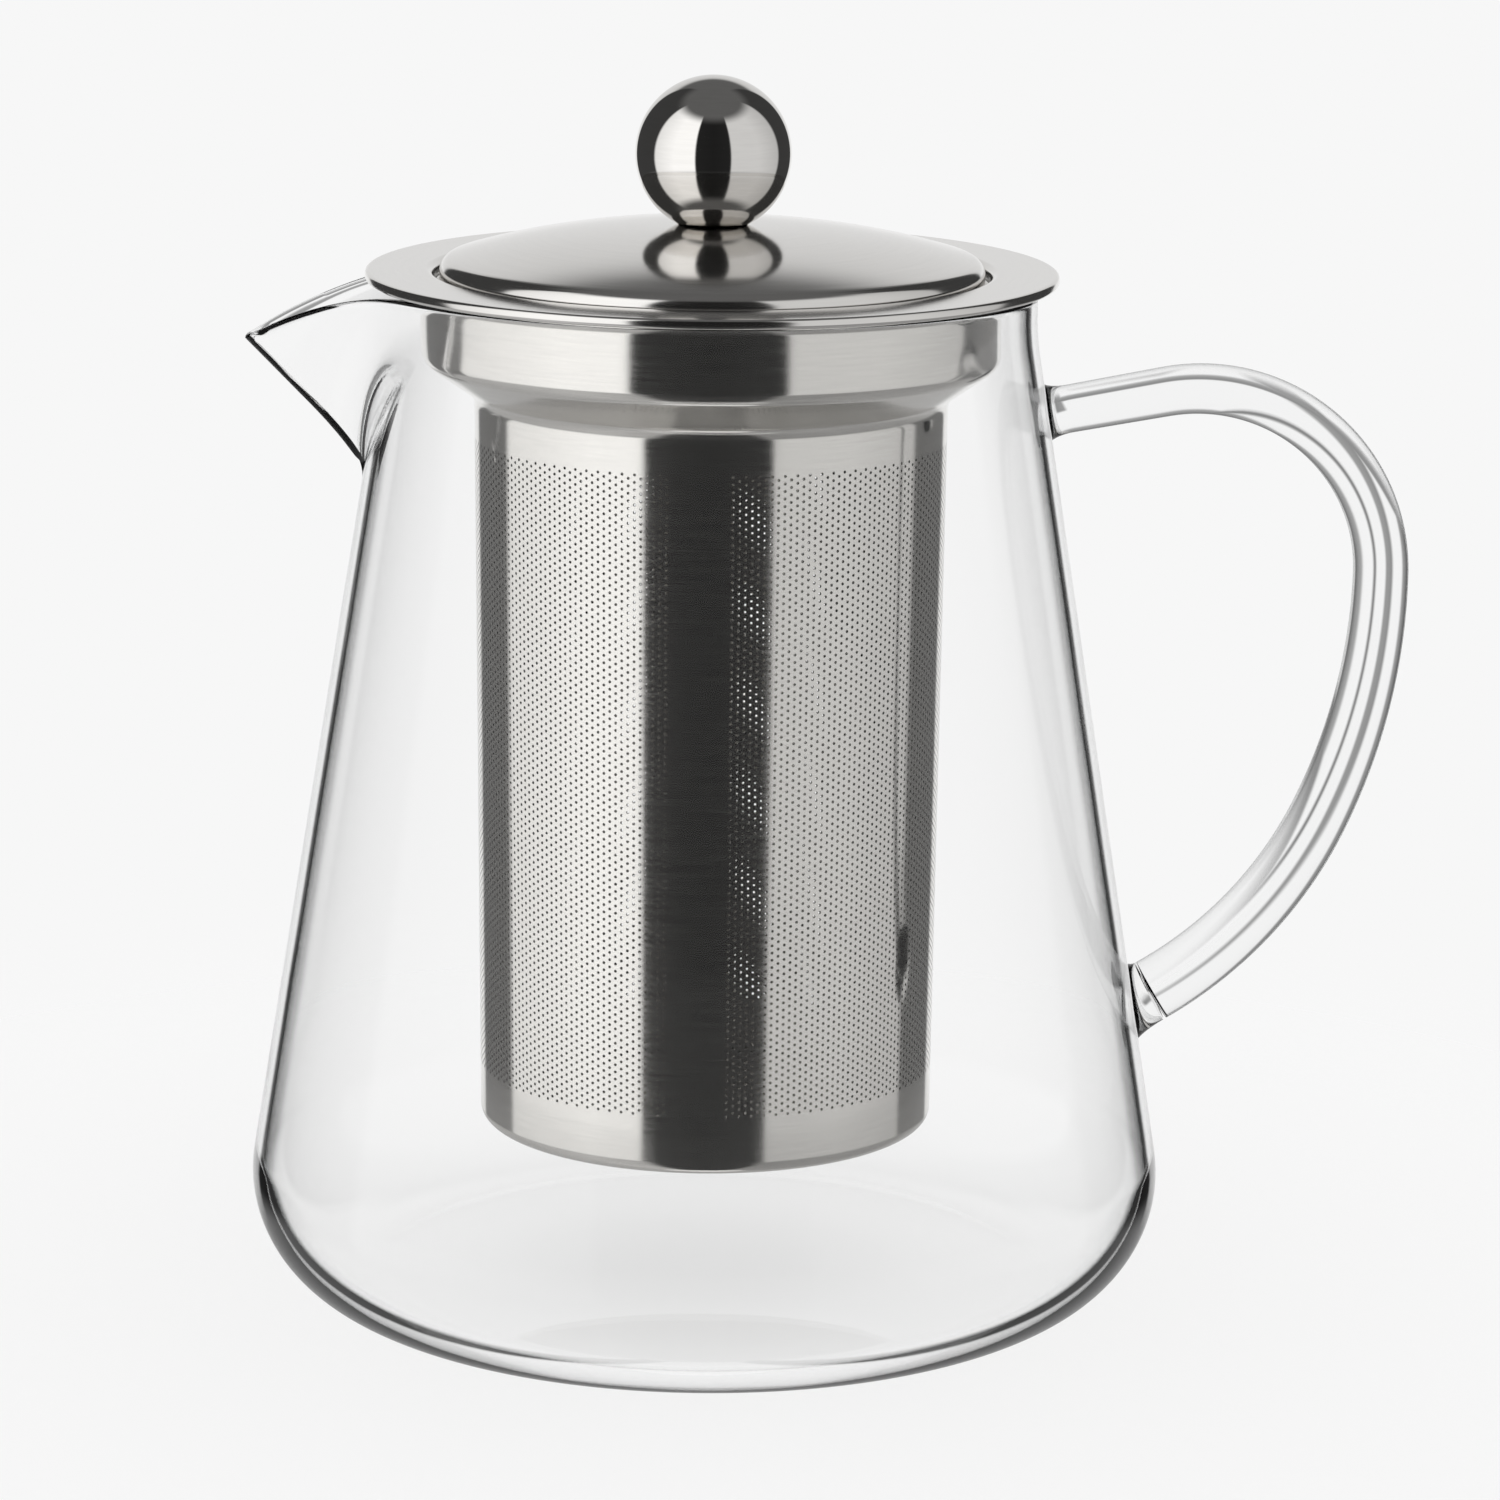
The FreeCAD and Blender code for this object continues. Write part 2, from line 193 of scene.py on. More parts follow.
def offset(corners, gap):
    """The open path moved to the right of its travel by gap, with its roundings kept parallel."""
    runs = []
    for (x0, z0, _), (x1, z1, _) in zip(corners, corners[1:]):
        run = np.array((x1 - x0, z1 - z0))
        run /= np.linalg.norm(run)
        runs.append((run, np.array((x0, z0)) + np.array((run[1], -run[0])) * gap))
    moved = [(*runs[0][1], 0)]
    for (run_in, point_in), (run_out, point_out), corner in zip(runs, runs[1:], corners[1:]):
        turned = run_in[0] * run_out[1] - run_in[1] * run_out[0]
        apart = point_out - point_in
        along = (apart[0] * run_out[1] - apart[1] * run_out[0]) / turned
        moved.append((*(point_in + run_in * along), corner[2] + math.copysign(gap, turned)))
    run = runs[-1][0]
    moved.append((*(np.array(corners[-1][:2]) + np.array((run[1], -run[0])) * gap), 0))
    return moved


def with_supports(points, longest=0.004, support=0.0003):
    """The closed loop with extra points near the ends of long runs, so that smooth shading stays flat there."""
    out = []
    for here, there in zip(points, points[1:] + points[:1]):
        out.append(here)
        length = np.linalg.norm(there - here)
        if length < 3 * support:
            continue
        marks = [support / length]
        marks += list(np.linspace(0, 1, int(length / longest) + 2)[1:-1])
        marks.append(1 - support / length)
        out += [here + (there - here) * m for m in sorted(marks)]
    return out


def piece(name, points, faces, finish, body, nodes, slot, shades=True, sharp_degrees=40):
    """A smooth-shaded piece that rides on a body and stands for CAD nodes. Clear glass shades nothing, so that
    only the steel darkens the floor."""
    mesh = bpy.data.meshes.new(name)
    mesh.from_pydata(np.asarray(points).tolist(), [], faces)
    if mesh.validate():
        raise RuntimeError(f"{name} has faces that are not sound")
    mesh.polygons.foreach_set("use_smooth", np.ones(len(mesh.polygons), dtype=bool))
    mesh.set_sharp_from_angle(angle=math.radians(sharp_degrees))
    mesh.materials.append(finish)
    made = bpy.data.objects.new(name, mesh)
    bpy.context.collection.objects.link(made)
    made.visible_diffuse = made.visible_shadow = shades
    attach(made, body)
    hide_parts(*nodes)
    return made


def lathe(points, segments=256, on_axis=1e-7):
    """Vertices and faces of the closed loop of (radius, height) points turned about Z."""
    points = np.asarray(points)
    angles = round_angles(segments)
    vertices, rings = [], []
    for r, z in points:
        if r < on_axis:
            rings.append([len(vertices)] * segments)
            vertices.append((0.0, 0.0, z))
        else:
            rings.append(list(range(len(vertices), len(vertices) + segments)))
            vertices += [(r * math.cos(a), r * math.sin(a), z) for a in angles]
    faces = []
    for low, high in zip(rings, rings[1:] + rings[:1]):
        for k in range(segments):
            n = (k + 1) % segments
            corners = [low[k], low[n], high[n], high[k]]
            corners = [c for i, c in enumerate(corners) if c != corners[i - 1]]
            if len(corners) > 2:
                faces.append(corners)
    return vertices, outward(points, faces)


def outward(points, faces):
    """The faces turned round where the loop runs clockwise, so that they face out of the solid."""
    area = sum(a[0] * b[1] - b[0] * a[1] for a, b in zip(points, np.roll(points, -1, axis=0)))
    return faces if area > 0 else [face[::-1] for face in faces]


def grid_faces(rows, columns):
    """Quads over a grid of rows by columns, where the columns run round."""
    faces = []
    for i in range(rows - 1):
        for k in range(columns):
            n = (k + 1) % columns
            faces.append((i * columns + k, i * columns + n, (i + 1) * columns + n, (i + 1) * columns + k))
    return faces


def capped_faces(rows, columns):
    """The grid's quads, and a fan at each end to one of the two points that follow the grid's own."""
    faces = grid_faces(rows, columns)
    first, last, final = rows * columns, rows * columns + 1, (rows - 1) * columns
    for k in range(columns):
        n = (k + 1) % columns
        faces += [(first, n, k), (last, final + k, final + n)]
    return faces


def round_angles(count):
    return np.arange(count) * 2 * math.pi / count


def add(tree, kind, settings=None, inputs=None):
    """The outputs of a new node with its settings, and with its inputs given as values or as sockets to link."""
    node = tree.nodes.new(kind)
    for key, value in (settings or {}).items():
        setattr(node, key, value)
    for key, value in (inputs or {}).items():
        if isinstance(value, bpy.types.NodeSocket):
            tree.links.new(value, node.inputs[key])
        else:
            node.inputs[key].default_value = value
    return node.outputs


def material(name):
    made = bpy.data.materials.new(name)
    made.use_nodes = True
    made.node_tree.nodes.clear()
    return made, made.node_tree


def clear_glass(name, colours, edge, edge_start):
    """Borosilicate glass, fire polished: quite clear, with slow ripples left by the flame. Its colour is painted
    grey at its outlines, where the eye looks along the surface, as painted shade for the dark surroundings that the
    edges bend and mirror. It mirrors the lights only faintly."""
    ripple_width, ripple_depth, ripple_strength = 0.022, 0.0004, 0.05
    edge_end, refraction, mirror_share, density = 0.97, 1.47, 0.25, 6.0
    made, tree = material(name)
    place = add(tree, "ShaderNodeTexCoord")
    ripple = add(tree, "ShaderNodeTexNoise", None,
                 {"Scale": 1 / ripple_width, "Detail": 1.0, "Vector": place["Object"]})
    bump = add(tree, "ShaderNodeBump", None,
               {"Strength": ripple_strength, "Distance": ripple_depth, "Height": ripple["Fac"]})
    # Painted shade: the base colour turns from clear to the outline grey where the surface faces away from the eye.
    weight = add(tree, "ShaderNodeLayerWeight")
    along = add(tree, "ShaderNodeMapRange", {"interpolation_type": "SMOOTHSTEP"},
                {"From Min": edge_start, "From Max": edge_end, "Value": weight["Facing"]})
    tint = add(tree, "ShaderNodeMix", {"data_type": "RGBA"},
               {"A": list(colours.glass), "B": list(edge), "Factor": along["Result"]})
    shader = add(tree, "ShaderNodeBsdfPrincipled", None, {
        "Roughness": 0.0, "IOR": refraction, "Transmission Weight": 1.0, "Specular Tint": [mirror_share] * 3 + [1.0],
        "Base Color": tint["Result"], "Normal": bump["Normal"]})
    depth = add(tree, "ShaderNodeVolumeAbsorption", None, {"Color": list(colours.glass_depth), "Density": density})
    add(tree, "ShaderNodeOutputMaterial", None, {"Surface": shader["BSDF"], "Volume": depth["Volume"]})
    return made


def turned_steel(name, tone, smooth, rough, line_width, line_depth, stretch):
    """Stainless steel finished while it turned: fine lines run round the axis, so that reflections stay crisp
    sideways and smear a little up and down. The lines are drawn a few times wider than real grit so that they
    show."""
    nominal_radius, darkest, relief = 0.01, 0.94, 0.00002
    made, tree = material(name)
    place = add(tree, "ShaderNodeTexCoord")
    parts = add(tree, "ShaderNodeSeparateXYZ", None, {"Vector": place["Object"]})
    flat = add(tree, "ShaderNodeCombineXYZ", None, {"X": parts["X"], "Y": parts["Y"]})
    reach = add(tree, "ShaderNodeVectorMath", {"operation": "LENGTH"}, {0: flat["Vector"]})
    along = add(tree, "ShaderNodeMath", {"operation": "ARCTAN2"}, {0: parts["Y"], 1: parts["X"]})
    slow = add(tree, "ShaderNodeMath", {"operation": "MULTIPLY"}, {0: along[0], 1: nominal_radius / stretch})
    lines = add(tree, "ShaderNodeCombineXYZ", None, {"X": reach["Value"], "Y": slow[0], "Z": parts["Z"]})
    grind = add(tree, "ShaderNodeTexNoise", None, {
        "Scale": 1 / line_width, "Detail": 2.0, "Roughness": 0.6, "Vector": lines["Vector"]})
    gloss = add(tree, "ShaderNodeMapRange", None, {
        "From Min": 0.3, "From Max": 0.7, "To Min": smooth, "To Max": rough, "Value": grind["Fac"]})
    shade = add(tree, "ShaderNodeMapRange", None, {
        "From Min": 0.25, "From Max": 0.75, "To Min": darkest, "To Max": 1.0, "Value": grind["Fac"]})
    tint = add(tree, "ShaderNodeVectorMath", {"operation": "SCALE"}, {0: list(tone)[:3], "Scale": shade["Result"]})
    bump = add(tree, "ShaderNodeBump", None, {"Strength": line_depth, "Distance": relief, "Height": grind["Fac"]})
    shader = add(tree, "ShaderNodeBsdfPrincipled", None, {
        "Metallic": 1.0, "Base Color": tint["Vector"], "Roughness": gloss["Result"],
        "Normal": bump["Normal"]})
    add(tree, "ShaderNodeOutputMaterial", None, {"Surface": shader["BSDF"]})
    return made


class Profile:
    """Heights and radii that several pieces share, in metres."""

    def __init__(self, scene):
        jug, infuser, lid = scene.teapot_jug, scene.teapot_infuser, scene.teapot_lid
        foot = jug.widest_radius - jug.foot_corner
        run, rise = jug.neck_radius - foot, jug.rim_height - jug.neck_length - jug.foot_corner
        self.taper = math.atan2(rise, run) - math.acos(jug.foot_corner / math.hypot(run, rise))
        self.wall_offset = foot * math.cos(self.taper) + jug.foot_corner * (1 + math.sin(self.taper))
        self.neck_inner = jug.neck_radius - jug.wall
        self.collar = self.neck_inner - infuser.collar_gap
        self.tube = self.collar - infuser.shoulder_step
        self.tube_foot = self.tube - infuser.taper
        self.collar_foot = jug.rim_height - infuser.collar_depth
        self.shoulder_foot = self.collar_foot - infuser.shoulder_step * math.tan(infuser.shoulder_angle)
        self.seam = self.shoulder_foot - infuser.skirt
        self.bottom = jug.floor + infuser.floor_gap
        self.cup = self.bottom + infuser.cup_depth
        self.lid_seat = jug.rim_height + infuser.sheet
        self.lid_top = self.lid_seat + 2 * lid.sheet
        self.ball_seat = self.lid_top + lid.dome_rise

    def wall_radius(self, height, depth=0.0):
        return (self.wall_offset - depth - height * math.sin(self.taper)) / math.cos(self.taper)

    def wall_height(self, radius, depth=0.0):
        return (self.wall_offset - depth - radius * math.cos(self.taper)) / math.sin(self.taper)


def spout_reach(jug, profile, off_spout, height, wall, least_grown=0.02):
    """Distance from the axis to the spout's side at an angle off the spout's middle plane."""
    root_z = jug.rim_height - jug.spout_drop
    root = profile.wall_radius(root_z)
    tip_z = jug.rim_height - jug.lip_droop
    run = (jug.neck_radius + jug.spout_overhang - root) / (tip_z - root_z)
    stretch = math.hypot(1, run)
    root_z = root_z + wall * run / stretch
    root = root - wall / stretch
    grown = (height - root_z) / (tip_z - root_z)
    nose = np.maximum(grown, least_grown) * (jug.spout_tip - wall)
    far = root + run * (height - root_z)
    slope = math.tan(jug.spout_half_angle)
    middle = far - nose
    side = middle + nose * math.sin(jug.spout_half_angle)
    half = nose * math.cos(jug.spout_half_angle)
    angle = np.minimum(np.abs(off_spout), math.pi / 2 - jug.spout_half_angle)
    straight = (half + side * slope) / (np.sin(angle) + np.cos(angle) * slope)
    arc_end = np.arctan2(half, side)
    inside = np.maximum(nose ** 2 - (middle * np.sin(angle)) ** 2, 0)
    arc = middle * np.cos(angle) + np.sqrt(inside)
    return np.where(angle < arc_end, arc, straight)


def soft_max(a, b, blend):
    """The larger of a and b, with a rounded step from one to the other."""
    near = np.maximum(blend - np.abs(a - b), 0)
    return np.maximum(a, b) + near ** 2 / (4 * blend)


class TEAPOT_OT_jug(bpy.types.Operator):
    """Blow the glass jug with its drawn spout and fire-polished rim"""
    bl_idname = "teapot.jug"
    bl_label = "Glass jug"

    def execute(self, context):
        jug, profile = context.scene.teapot_jug, Profile(context.scene)
        neck_z = jug.rim_height - jug.neck_length
        beyond = jug.rim_height + jug.lip_droop
        outside = np.array(rounded([
            (0, 0, 0),
            (profile.wall_radius(0), 0, jug.foot_corner),
            (jug.neck_radius, neck_z, jug.neck_blend),
            (jug.neck_radius, beyond, 0),
        ]))
        inside = np.array(rounded([
            (0, jug.floor, 0),
            (profile.wall_radius(jug.floor, jug.wall), jug.floor, jug.foot_corner - jug.wall),
            (profile.neck_inner, profile.wall_height(profile.neck_inner, jug.wall), jug.neck_blend + jug.wall),
            (profile.neck_inner, beyond, 0),
        ]))
        columns, crowding = 288, 1.3  # the columns crowd together round the spout
        foot_rings, wall_rings, spout_rings, rim_steps = 9, 30, 44, 8
        spread = np.linspace(-1, 1, columns, endpoint=False)
        angle = math.pi * np.sign(spread) * np.abs(spread) ** crowding
        start_x = -(jug.neck_radius + jug.spout_overhang) + jug.lip_run
        bend = (jug.lip_run ** 2 + jug.lip_droop ** 2) / (2 * jug.lip_droop)

        def reach(path, height, wall):
            body = np.interp(height, path[:, 1], path[:, 0])
            grown = np.clip(1 - (jug.rim_height - height) / jug.spout_drop, 0, 1)
            blend = jug.spout_blend + (jug.spout_blend_top - jug.spout_blend) * np.sqrt(grown)
            return soft_max(body, spout_reach(jug, profile, angle, height, wall), blend)

        # The edge's height and reach depend on each other, so each round goes half of the way.
        top = np.full(columns, jug.rim_height)
        rounds, half_way, furthest = 60, 0.5, bend * 0.99
        for _ in range(rounds):
            past = np.clip(start_x + reach(outside, top, 0.0) * np.cos(angle), 0, furthest)
            top += half_way * (jug.rim_height - bend + np.sqrt(bend ** 2 - past ** 2) - top)

        root_margin = jug.spout_blend * 1.5
        low = jug.rim_height - jug.spout_drop - root_margin
        bead = jug.wall / 2

        def surface(path, wall):
            ring = np.ones(columns)
            rows = []
            below = path[path[:, 1] < low]
            flat = path[1][0]
            for r in np.linspace(0, flat, foot_rings)[1:-1]:
                rows.append((ring * r, ring * path[0][1]))
            for r, z in below[1:]:
                rows.append((ring * r, ring * z))
            for z in np.linspace(below[-1][1], low, wall_rings)[1:-1]:
                rows.append((ring * np.interp(z, path[:, 1], path[:, 0]), ring * z))
            for t in np.linspace(0, 1, spout_rings):
                z = low + (top - bead - low) * t
                rows.append((reach(path, z, wall), z))
            return rows

        outer = surface(outside, 0.0)
        inner = surface(inside, jug.spout_wall)
        (r_out, z_edge), (r_in, _) = outer[-1], inner[-1]
        rim = []
        for k in range(1, rim_steps):
            a = math.pi * k / rim_steps
            rim.append(((r_out + r_in) / 2 + (r_out - r_in) / 2 * math.cos(a), z_edge + bead * math.sin(a)))
        rows = outer + rim + inner[::-1]
        points = [(-r[k] * math.cos(angle[k]), -r[k] * math.sin(angle[k]), z[k])
                  for r, z in rows for k in range(columns)]
        points += [(0, 0, 0), (0, 0, jug.floor)]
        faces = capped_faces(len(rows), columns)
        finish = context.scene.teapot_finish
        # The wall's outlines are painted grey shade.
        glass = clear_glass("borosilicate glass, blown", finish, finish.wall_edge, edge_start=0.78)
        piece("jug_glass", points, faces, glass, "jug", ["glass_body"], "clear_glass", shades=False)
        return {"FINISHED"}


class TEAPOT_OT_handle(bpy.types.Operator):
    """Bend the glass rod handle and melt its two gathers into the wall"""
    bl_idname = "teapot.handle"
    bl_label = "Glass handle"

    def execute(self, context):
        jug, handle, profile = context.scene.teapot_jug, context.scene.teapot_handle, Profile(context.scene)
        bend_points, arc_count, ring_count, sides = 60, 40, 150, 48
        top_z = jug.rim_height - handle.top_drop
        top = np.array((profile.wall_radius(top_z), top_z))
        foot = np.array((profile.wall_radius(handle.foot_height), handle.foot_height))
        widest = np.array((profile.wall_radius(handle.widest_height) + handle.standoff, handle.widest_height))
        rise = handle.rise_angle
        top_way = np.array((math.cos(rise), math.sin(rise)))
        out = widest - top
        bend = (out[0] * top_way[1] - out[1] * top_way[0]) / (1 + top_way[1])
        centre = widest - (bend, 0)
        foot_way = -np.array((math.cos(handle.return_angle), math.sin(handle.return_angle)))
        start = top + top_way * handle.weld_length
        end = foot - foot_way * handle.weld_length
        path = [start]
        for a in np.linspace(math.pi / 2 + rise, 0, bend_points):
            path.append(centre + bend * np.array((math.cos(a), math.sin(a))))
        # Two arcs run from the widest place to the lower weld and meet without a kink.
        down = np.array((0.0, -1.0))
        chord = end - widest
        spread = 2 * (1 - down @ foot_way)
        pull = chord @ (down + foot_way)
        reach = (math.sqrt(pull ** 2 + spread * (chord @ chord)) - pull) / spread
        joint = (widest + down * reach + end - foot_way * reach) / 2
        path += arc_points(widest, down, joint, arc_count)[1:]
        path += arc_points(end, -foot_way, joint, arc_count)[::-1][1:]
        path = np.array(path)
        steps = np.concatenate(([0], np.cumsum(np.linalg.norm(np.diff(path, axis=0), axis=1))))
        marks = np.linspace(0, steps[-1], ring_count)
        path = np.column_stack([np.interp(marks, steps, path[:, i]) for i in (0, 1)])
        ways = np.gradient(path, axis=0)
        ways[0], ways[-1] = top_way, foot_way
        ways /= np.linalg.norm(ways, axis=1)[:, None]
        radii = np.linspace(handle.top_diameter, handle.foot_diameter, len(path)) / 2
        angles = round_angles(sides)
        rings = [ring_at(p, w, r, angles) for p, w, r in zip(path, ways, radii)]
        upper = self.gather(handle, profile, top, top_way, handle.top_diameter / 2, angles)
        lower = self.gather(handle, profile, foot, -foot_way, handle.foot_diameter / 2, -angles)
        rings = upper[:-1] + rings + lower[::-1][1:]
        points = np.concatenate([*rings, rings[0].mean(axis=0)[None], rings[-1].mean(axis=0)[None]])
        faces = capped_faces(len(rings), sides)
        finish = context.scene.teapot_finish
        # The rod's outlines are painted darker grey shade.
        glass = clear_glass("borosilicate glass, drawn rod", finish, finish.rod_edge, edge_start=0.5)
        made = piece("handle_glass", points, faces, glass, "jug",
                     ["handle_rod", "upper_handle_weld", "lower_handle_weld"], "clear_glass", shades=False)
        made.visible_glossy = False  # the steel does not mirror the rod
        return {"FINISHED"}

    def gather(self, handle, profile, joint, outward_way, radius, angles):
        """Rings of a flared gather, from just inside the wall out to the rod's end."""
        search, rounds, ring_count = 0.008, 40, 12
        foot = ring_at(joint, outward_way, radius + handle.weld_flare, angles)
        way = np.array((outward_way[0], 0, outward_way[1]))
        low, high = np.full(len(angles), -search), np.full(len(angles), search)
        for _ in range(rounds):
            middle = (low + high) / 2
            spots = foot + way * middle[:, None]
            gone = np.hypot(spots[:, 0], spots[:, 1]) < profile.wall_radius(spots[:, 2], handle.weld_sink)
            low, high = np.where(gone, middle, low), np.where(gone, high, middle)
        rings = []
        for t in np.linspace(0, 1, ring_count):
            flare = handle.weld_flare * (1 - math.sqrt(max(0, 1 - (1 - t) ** 2)))
            ring = ring_at(joint, outward_way, radius + flare, angles)
            rings.append(ring + way * (low + (handle.weld_length - low) * t)[:, None])
        return rings


def ring_at(spot, way, radius, angles):
    """Ring of points round a spot of the XZ plane, square to a way in that plane."""
    across = np.array((way[1], 0, -way[0]))
    ring = np.outer(np.cos(angles), across) + np.outer(np.sin(angles), (0, 1, 0))
    return np.array((spot[0], 0, spot[1])) + ring * radius


def arc_points(start, way, end, count):
    """Points of the arc that leaves start along way and reaches end."""
    chord = end - start
    square = np.array((-way[1], way[0]))
    radius = (chord @ chord) / (2 * (chord @ square))
    centre = start + square * radius
    first = math.atan2(*(start - centre)[::-1])
    sweep = (math.atan2(*(end - centre)[::-1]) - first + math.pi) % (2 * math.pi) - math.pi
    return [centre + abs(radius) * np.array((math.cos(first + sweep * t), math.sin(first + sweep * t)))
            for t in np.linspace(0, 1, count)]


class TEAPOT_OT_infuser_sheet(bpy.types.Operator):
    """Press the infuser's collar and its base cup from steel sheet"""
    bl_idname = "teapot.infuser_sheet"
    bl_label = "Infuser collar and base"

    def execute(self, context):
        jug, infuser, profile = context.scene.teapot_jug, context.scene.teapot_infuser, Profile(context.scene)
        steel = turned_steel("stainless steel, brushed", context.scene.teapot_finish.brushed,
                             smooth=0.09, rough=0.13, line_width=0.0004, line_depth=0.015, stretch=6.0)
        face = [
            (jug.neck_radius - infuser.flange_setback, jug.rim_height, 0),
            (profile.collar, jug.rim_height, infuser.mouth_round),
            (profile.collar, profile.collar_foot, infuser.collar_corner),
            (profile.tube, profile.shoulder_foot, infuser.shoulder_foot),
            (profile.tube, profile.seam, 0),
        ]
        loop = rounded(face) + rounded(offset(face, infuser.sheet))[::-1]
        piece("infuser_collar_sheet", *lathe(with_supports(loop)), steel,
              "infuser", ["infuser_collar"], "brushed_steel")
        cup = [
            (profile.tube_foot, profile.cup, 0),
            (profile.tube_foot, profile.bottom, infuser.base_corner),
            (0, profile.bottom, 0),
        ]
        within = [
            (0, profile.bottom + infuser.sheet, 0),
            (profile.tube_foot - infuser.sheet, profile.bottom + infuser.sheet, infuser.base_corner - infuser.sheet),
            (profile.tube_foot - infuser.sheet, profile.cup, 0),
        ]
        piece("infuser_base_cup", *lathe(with_supports(rounded(cup) + rounded(within))), steel,
              "infuser", ["infuser_base"], "brushed_steel")
        return {"FINISHED"}


class TEAPOT_OT_infuser_screen(bpy.types.Operator):
    """Punch the infuser's screen, in four quarters so that no mesh gets too heavy"""
    bl_idname = "teapot.infuser_screen"
    bl_label = "Infuser screen"

    def execute(self, context):
        infuser, profile = context.scene.teapot_infuser, Profile(context.scene)
        steel = bpy.data.materials["stainless steel, brushed"]
        names = ["screen_quarter_front_right", "screen_quarter_back_right",
                 "screen_quarter_back_left", "screen_quarter_front_left"]
        quarters, strip_columns = len(names), 8
        strip = infuser.seam_strip / profile.tube
        columns = quarters * round((2 * math.pi - strip) * profile.tube / infuser.hole_pitch / quarters)
        front = -math.pi / 2 - infuser.seam_angle
        edges = np.concatenate([
            np.linspace(front + strip / 2, front + 2 * math.pi - strip / 2, columns + 1),
            np.linspace(front - strip / 2, front + strip / 2, strip_columns + 1)[1:] + 2 * math.pi,
        ])
        low, high = profile.cup + infuser.plain_foot, profile.seam - infuser.plain_top
        row_pitch = infuser.hole_pitch * 2 / math.sqrt(3)
        half_rows = 2 * round((high - low) / row_pitch)
        heights = np.concatenate([[profile.cup], np.linspace(low, high, half_rows + 1), [profile.seam]])
        starts = [quarter * columns // quarters for quarter in range(quarters)] + [columns + strip_columns]
        for name, first, last in zip(names, starts, starts[1:]):
            sheet = self.quarter(infuser, profile, edges[first:last + 1], heights, columns - first)
            piece(name, *sheet, steel, "infuser", ["infuser_screen"], "brushed_steel")
        return {"FINISHED"}

    def quarter(self, infuser, profile, edges, heights, punched):
        """Closed punched sheet between the angles in edges; columns from punched on are plain."""
        rows, count = len(heights), len(edges)
        radius = np.interp(heights, [profile.cup, profile.seam], [profile.tube_foot, profile.tube])
        plain = count * rows
        around = 6
        hexagon = round_angles(around)
        spots, rims = [], []
        for i in range(count - 1):
            k = 1 + i % 2
            while k + 2 <= rows - 2 and i < punched:
                spots.append(((edges[i] + edges[i + 1]) / 2, heights[k + 1]))
                rims.append((i, k))
                k += 2
        spots = np.array(spots)
        hole_r = np.interp(spots[:, 1], heights, radius)
        turn_by = spots[:, 0][:, None] + np.cos(hexagon) * infuser.hole / 2 / hole_r[:, None]
        lift = spots[:, 1][:, None] + np.sin(hexagon) * infuser.hole / 2
        flat_angles = np.concatenate([np.repeat(edges, rows), turn_by.ravel()])
        flat_heights = np.concatenate([np.tile(heights, count), lift.ravel()])
        flat_radius = np.interp(flat_heights, heights, radius)
        points, faces = [], []
        for depth in (0.0, infuser.screen_sheet):
            r = flat_radius - depth
            points.append(np.column_stack([r * np.cos(flat_angles), r * np.sin(flat_angles), flat_heights]))
        layer = len(flat_angles)

        def spot(i, k):
            return i * rows + k

        taken = set()
        for number, (i, k) in enumerate(rims):
            loop = [spot(i + 1, k + 1), spot(i + 1, k + 2), spot(i, k + 2),
                    spot(i, k + 1), spot(i, k), spot(i + 1, k)]
            hole = [plain + number * around + m for m in range(around)]
            taken.update(((i, k), (i, k + 1)))
            for m in range(around):
                n = (m + 1) % around
                faces.append((loop[m], loop[n], hole[n], hole[m]))
                faces.append((loop[n] + layer, loop[m] + layer, hole[m] + layer, hole[n] + layer))
                faces.append((hole[m], hole[n], hole[n] + layer, hole[m] + layer))
        for i in range(count - 1):
            for k in range(rows - 1):
                if (i, k) in taken:
                    continue
                face = (spot(i, k), spot(i + 1, k), spot(i + 1, k + 1), spot(i, k + 1))
                faces.append(face)
                faces.append(tuple(c + layer for c in face[::-1]))
            for k, flip in ((0, False), (rows - 1, True)):
                edge = (spot(i, k), spot(i, k) + layer, spot(i + 1, k) + layer, spot(i + 1, k))
                faces.append(edge[::-1] if flip else edge)
        for i, flip in ((0, True), (count - 1, False)):
            for k in range(rows - 1):
                edge = (spot(i, k), spot(i, k) + layer, spot(i, k + 1) + layer, spot(i, k + 1))
                faces.append(edge[::-1] if flip else edge)
        return np.concatenate(points), faces


